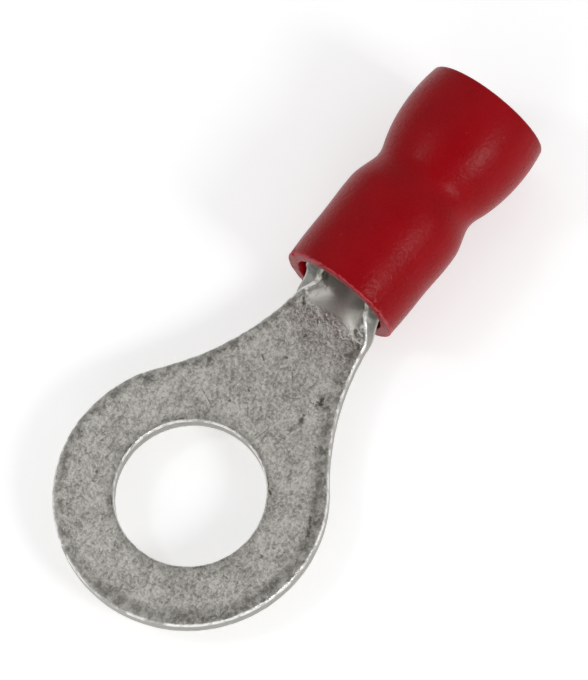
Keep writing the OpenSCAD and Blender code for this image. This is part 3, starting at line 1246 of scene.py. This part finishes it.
@dataclass
class VinylSleeve:
    """The moulded insulating sleeve, with its sizes in millimetres."""

    mouth_x: float = 10.3
    rear_x: float = 20.6
    axis_z: float = 1.95
    bell_r: float = 2.995
    front_r: float = 2.785
    mouth_r: float = 2.165
    grip_r: float = 1.97
    throat_r: float = 1.65
    waist_r: float = 2.385
    lead_len: float = 1.0
    step: float = 5.25
    waist: float = 5.9
    shoulder: float = 4.59
    shoulder_r: float = 1.9
    bell: float = 8.85
    bell_wall: float = 0.66
    rear_bevel: float = 0.1
    wave_len: float = 2.6
    around: int = 256

    @classmethod
    def from_frame(cls) -> "VinylSleeve":
        """Takes the sleeve's ends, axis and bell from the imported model."""
        low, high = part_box("sleeve")
        return cls(
            mouth_x=low.x / MM,
            rear_x=high.x / MM,
            axis_z=(low.z + high.z) / 2 / MM,
            bell_r=(high.z - low.z) / 2 / MM,
        )

    def __post_init__(self) -> None:
        """Works out the sizes that follow from the others."""
        rise = self.bell_r - self.waist_r
        reach = self.bell - self.waist
        self.length = self.rear_x - self.mouth_x
        self.arc_r = (reach**2 + rise**2) / (2 * rise)
        self.arc_out = self.bell_r - self.arc_r
        self.close_angle = math.atan2(self.front_r - self.waist_r, self.waist - self.shoulder)
        self.soft = self.shoulder_r * math.tan(self.close_angle / 2)

    def bell_out(self, along: float, wall: float = 0.0) -> float:
        """Returns the bell's radius at a distance along the sleeve."""
        return self.arc_out + math.sqrt((self.arc_r - wall) ** 2 - (along - self.bell) ** 2)

    def plain_out(self, along: float) -> float:
        """Returns the outside's radius where its front, shoulder, cone and bell meet sharply."""
        if along > self.waist:
            return self.bell_out(along)
        start = self.shoulder - self.soft
        if along < start:
            return self.front_r
        turn = math.asin(min(1.0, (along - start) / self.shoulder_r))
        if turn < self.close_angle:
            return self.front_r - self.shoulder_r * (1 - math.cos(turn))
        return self.waist_r + (self.waist - along) * math.tan(self.close_angle)

    def soft_out(self, along: float) -> float:
        """Returns the outside's radius as moulded: soft at the waist, and not quite straight in front.

        Args:
            along: The distance from the mouth.

        Returns:
            The radius, in millimetres.
        """
        reach = 0.10 + 0.50 * math.exp(-(((along - self.waist) / 0.85) ** 2))
        reach = min(reach, self.length - 0.02 - along, along)
        spots = [-1 + 2 * i / 12 for i in range(13)]
        weights = [1 - abs(spot) * 0.92 for spot in spots]
        total = sum(w * self.plain_out(along + reach * spot) for w, spot in zip(weights, spots))
        out = total / sum(weights)
        wave = math.sin(2 * math.pi * (along - 0.55) / self.wave_len) + math.sin(2 * math.pi * 0.55 / self.wave_len)
        lean = 0.018 * along + self.wave_len / (2 * math.pi) * 0.024 * wave - 0.07
        fade = min(1.0, max(0.0, (self.shoulder + 0.2 - along) / 1.2))
        return out + lean * fade * fade * (3 - 2 * fade)

    def section(self) -> list[SectionPoint]:
        """Returns the sleeve's closed half section, outside first."""
        made: list[SectionPoint] = []

        def line(start: Plan, end: Plan, steps: int, where: Place) -> None:
            """Adds a straight run, without its end."""
            for i in range(steps):
                share = i / steps
                along = start[0] + (end[0] - start[0]) * share
                out = start[1] + (end[1] - start[1]) * share
                made.append(SectionPoint(along, out, where))

        edge = 0.07
        corner = self.soft_out(edge + 0.03) - 0.002
        for i in range(5):
            turn = math.radians(90 * i / 4)
            out = corner - edge + edge * math.sin(turn)
            made.append(SectionPoint(edge * (1 - math.cos(turn)), out, Place.MOUTH))
        last = self.length - self.rear_bevel
        steps = 116
        for i in range(steps + 1):
            along = edge + 0.03 + (last - edge - 0.03) * i / steps
            made.append(SectionPoint(along, self.soft_out(along), Place.OUTSIDE))
        rear = self.soft_out(last)
        for i in range(1, 4):
            turn = math.radians(90 * i / 3)
            along = last + self.rear_bevel * math.sin(turn)
            out = rear - self.rear_bevel * 0.85 * (1 - math.cos(turn))
            made.append(SectionPoint(along, out, Place.TAIL))
        inner_rear = self.bell_out(self.length, self.bell_wall)
        line(
            (self.length, rear - self.rear_bevel * 0.85 - 0.02),
            (self.length, inner_rear + 0.05),
            5,
            Place.TAIL,
        )
        made.append(SectionPoint(self.length, inner_rear + 0.05, Place.TAIL))
        made.append(SectionPoint(self.length - 0.015, inner_rear + 0.015, Place.TAIL))
        made.append(SectionPoint(self.length - 0.05, self.bell_out(self.length - 0.05, self.bell_wall), Place.TAIL))
        fall = (self.arc_r - self.bell_wall) ** 2 - (self.throat_r - self.arc_out) ** 2
        throat_end = self.bell - math.sqrt(fall)
        steps = 26
        for i in range(1, steps + 1):
            along = self.length - 0.05 + (throat_end - self.length + 0.05) * i / steps
            made.append(SectionPoint(along, self.bell_out(along, self.bell_wall), Place.INSIDE))
        line((throat_end - 0.03, self.throat_r), (self.step + 0.03, self.throat_r), 8, Place.INSIDE)
        made.append(SectionPoint(self.step + 0.03, self.throat_r, Place.INSIDE))
        made.append(SectionPoint(self.step, self.throat_r + 0.03, Place.INSIDE))
        made.append(SectionPoint(self.step, self.grip_r - 0.03, Place.INSIDE))
        made.append(SectionPoint(self.step - 0.02, self.grip_r, Place.INSIDE))
        line((self.step - 0.1, self.grip_r), (self.lead_len, self.grip_r), 14, Place.INSIDE)
        line((self.lead_len, self.grip_r), (0.05, self.mouth_r - 0.01), 8, Place.INSIDE)
        made.append(SectionPoint(0.05, self.mouth_r - 0.008, Place.MOUTH))
        made.append(SectionPoint(0.015, self.mouth_r + 0.012, Place.MOUTH))
        made.append(SectionPoint(0.0, self.mouth_r + 0.05, Place.MOUTH))
        for share in (0.25, 0.5, 0.75):
            out = self.mouth_r + 0.05 + (corner - edge - self.mouth_r - 0.05) * share
            made.append(SectionPoint(0.0, out, Place.MOUTH))
        return made

    def _uneven(self, point: SectionPoint, turn: float) -> tuple[float, float]:
        """Returns how far a point moves along and in, for a moulding's unevenness.

        Args:
            point: The point of the section.
            turn: The angle around the axis, in radians.

        Returns:
            The moves along the axis and inwards, in millimetres.
        """
        here = Vector((math.cos(turn), math.sin(turn), 0.0))
        inward = 0.0
        along = 0.0
        if point.where in (Place.OUTSIDE, Place.TAIL):
            wave = noise.noise(Vector((here.x * 1.3, here.y * 1.3, point.along * 0.45)))
            inward = 0.014 * (1 + wave)
        near = max(0.0, 1 - point.along / 0.35)
        if near > 0 and point.out > self.mouth_r - 0.05:
            fine = noise.noise(Vector((here.x * 6, here.y * 6, 3.1)))
            nick = max(0.0, noise.noise(Vector((here.x * 17, here.y * 17, 8.4))) - 0.34) * 3.2
            edge = max(0.0, 1 - abs(point.out - self.front_r + 0.05) / 0.2)
            along = near * (0.010 * (1 + fine) + 0.085 * nick * edge)
            inward += near * edge * (0.008 * (1 + fine) + 0.05 * nick)
        return along, inward

    def build(self) -> bpy.types.Object:
        """Builds the sleeve's mesh.

        Returns:
            The object, which carries rim_gap and tail_gap values.
        """
        section = self.section()
        size = len(section)
        corner = max(point.out for point in section if point.where is Place.MOUTH)
        points: list[Vector] = []
        rim: list[float] = []
        tail: list[float] = []
        for step in range(self.around):
            turn = 2 * math.pi * step / self.around
            for point in section:
                along, inward = self._uneven(point, turn)
                out = point.out - inward
                points.append(
                    Vector(
                        (
                            self.mouth_x + point.along + along,
                            out * math.cos(turn),
                            self.axis_z + out * math.sin(turn),
                        )
                    )
                )
                rim.append(math.hypot(point.along, point.out - corner))
                tail.append(math.hypot(point.along - self.length, point.out - self.bell_out(self.length - 0.1)))
        faces = [
            [
                step * size + i,
                step * size + (i + 1) % size,
                (step + 1) % self.around * size + (i + 1) % size,
                (step + 1) % self.around * size + i,
            ]
            for step in range(self.around)
            for i in range(size)
        ]
        return new_mesh_object("insulating_sleeve", points, faces, {"rim_gap": rim, "tail_gap": tail})

    def dress(self, piece: bpy.types.Object, vinyl: bpy.types.Material) -> None:
        """Gives the sleeve its vinyl and its place in the model."""
        piece.data.materials.append(vinyl)
        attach(piece, "root")
        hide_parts("sleeve")


# ---------------------------------------------------------------------------
# The studio
# ---------------------------------------------------------------------------


@dataclass(frozen=True)
class Softbox:
    """A soft lamp: the way to it, its distance, size and brightness."""

    name: str
    towards: tuple[float, float, float]
    distance: float
    size: float
    radiance: float

    def place(self, middle: Vector) -> bpy.types.Object:
        """Puts the lamp in the scene, facing the object.

        Args:
            middle: The point that it faces, in metres.

        Returns:
            The lamp.
        """
        light = bpy.data.lights.new(self.name, "AREA")
        light.shape = "DISK"
        light.size = self.size
        light.energy = self.radiance * math.pi * math.pi * (self.size / 2) ** 2
        made = bpy.data.objects.new(self.name, light)
        bpy.context.scene.collection.objects.link(made)
        way = Vector(self.towards).normalized()
        made.location = middle + way * self.distance
        made.rotation_euler = way.to_track_quat("Z", "Y").to_euler()
        return made


@dataclass
class Studio:
    """The floor, the lamps, the sky and the camera."""

    lamps: tuple[Softbox, ...] = (
        Softbox("side_softbox", (0.02, -0.83, 0.55), 0.30, 0.09, 14.0),
        Softbox("back_softbox", (-0.33, 0.53, 0.77), 0.32, 0.06, 11.0),
        Softbox("front_softbox", (-0.86, -0.30, 0.42), 0.34, 0.14, 3.0),
    )
    right: tuple[float, float, float] = (0.6122, -0.7870, -0.0777)
    back: tuple[float, float, float] = (-0.2179, -0.2625, 0.9412)
    distance: float = 0.3
    lens: float = 381.2
    sky: float = 0.58
    dim: float = 0.10
    dim_way: tuple[float, float, float] = (-0.2179, -0.2625, 0.9412)

    def build_floor(self, low: Vector, high: Vector, paint: bpy.types.Material) -> bpy.types.Object:
        """Builds the floor under the object.

        Args:
            low: The object's lowest corner.
            high: The object's highest corner.
            paint: The floor's material.

        Returns:
            The floor.
        """
        middle = (low + high) / 2
        rings, spokes = (0.0, 0.05, 0.2, 0.6, 1.5, 3.0), 48
        points = [Vector((middle.x, middle.y, low.z)) / MM]
        for radius in rings[1:]:
            for i in range(spokes):
                turn = 2 * math.pi * i / spokes
                spot = Vector((middle.x + radius * math.cos(turn), middle.y + radius * math.sin(turn), low.z))
                points.append(spot / MM)
        faces = [[0, 1 + i, 1 + (i + 1) % spokes] for i in range(spokes)]
        for ring in range(len(rings) - 2):
            first = 1 + ring * spokes
            for i in range(spokes):
                following = (i + 1) % spokes
                faces.append([first + i, first + spokes + i, first + spokes + following, first + following])
        floor = new_mesh_object("floor", points, faces, {})
        floor.data.materials.append(paint)
        floor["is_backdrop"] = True
        return floor

    def build_sky(self) -> bpy.types.World:
        """Builds the even studio light, with a dim patch where no lamp hangs.

        Returns:
            The world.
        """
        world = bpy.data.worlds.new("studio")
        world.use_nodes = True
        tree = world.node_tree
        tree.nodes.clear()
        sketch = Sketch(tree)
        way = sketch.node("ShaderNodeTexCoord").outputs["Generated"]
        toward = sketch.vector_sums("DOT_PRODUCT", way, self.dim_way, "Value")
        level = sketch.ramp(toward, math.cos(math.radians(34)), math.cos(math.radians(12)), self.sky, self.dim)
        lit = sketch.node("ShaderNodeBackground", {"Strength": level})
        lit.inputs["Color"].default_value = (1.0, 1.0, 1.0, 1.0)
        output = sketch.node("ShaderNodeOutputWorld")
        sketch.feed(output.inputs["Surface"], lit.outputs[0])
        bpy.context.scene.world = world
        return world

    def build_camera(self, target: Vector) -> bpy.types.Object:
        """Builds the camera.

        Args:
            target: The point at the middle of the picture, in metres.

        Returns:
            The camera.
        """
        back = Vector(self.back).normalized()
        right = Vector(self.right)
        right = (right - back * right.dot(back)).normalized()
        up = back.cross(right)
        data = bpy.data.cameras.new("camera")
        data.sensor_fit = "VERTICAL"
        data.sensor_height = 36.0
        data.lens = self.lens
        data.clip_start, data.clip_end = 0.01, 20.0
        made = bpy.data.objects.new("camera", data)
        bpy.context.scene.collection.objects.link(made)
        turn = Matrix((right, up, back)).transposed().to_4x4()
        made.matrix_world = Matrix.Translation(target + back * self.distance) @ turn
        bpy.context.scene.camera = made
        return made

    def aim(self, ring_top: Vector, right_mm: float, up_mm: float) -> Vector:
        """Returns the picture's middle, from the ring's middle and two offsets in it."""
        back = Vector(self.back).normalized()
        right = Vector(self.right)
        right = (right - back * right.dot(back)).normalized()
        return ring_top + (right * right_mm + back.cross(right) * up_mm) * MM


def main() -> None:
    """Builds the terminal, the sleeve and the studio, in that order."""
    logging.basicConfig(level=logging.INFO, format="%(message)s")
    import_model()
    cad_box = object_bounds()
    effects = Effects()
    terminal = RingTerminal.from_frame()
    piece = terminal.build()
    terminal.dress(piece, TinPlating().build(effects))
    LOG.info("%s: %d faces", piece.name, len(piece.data.polygons))
    sleeve = VinylSleeve.from_frame()
    piece = sleeve.build()
    sleeve.dress(piece, RedVinyl().build(effects))
    LOG.info("%s: %d faces", piece.name, len(piece.data.polygons))

    studio = Studio()
    low, high = cad_box
    floor = studio.build_floor(low, high, FloorPaint().build(effects))
    LOG.info("%s at %.2f mm", floor.name, low.z / MM)
    studio.build_sky()
    for lamp in studio.lamps:
        lamp.place((low + high) / 2)
    studio.build_camera(studio.aim(Vector((0.0, 0.0, terminal.stock * MM)), 4.3375, 6.3625))
    scene = bpy.context.scene
    scene.view_settings.view_transform = "Standard"


if __name__ == "__main__":
    main()
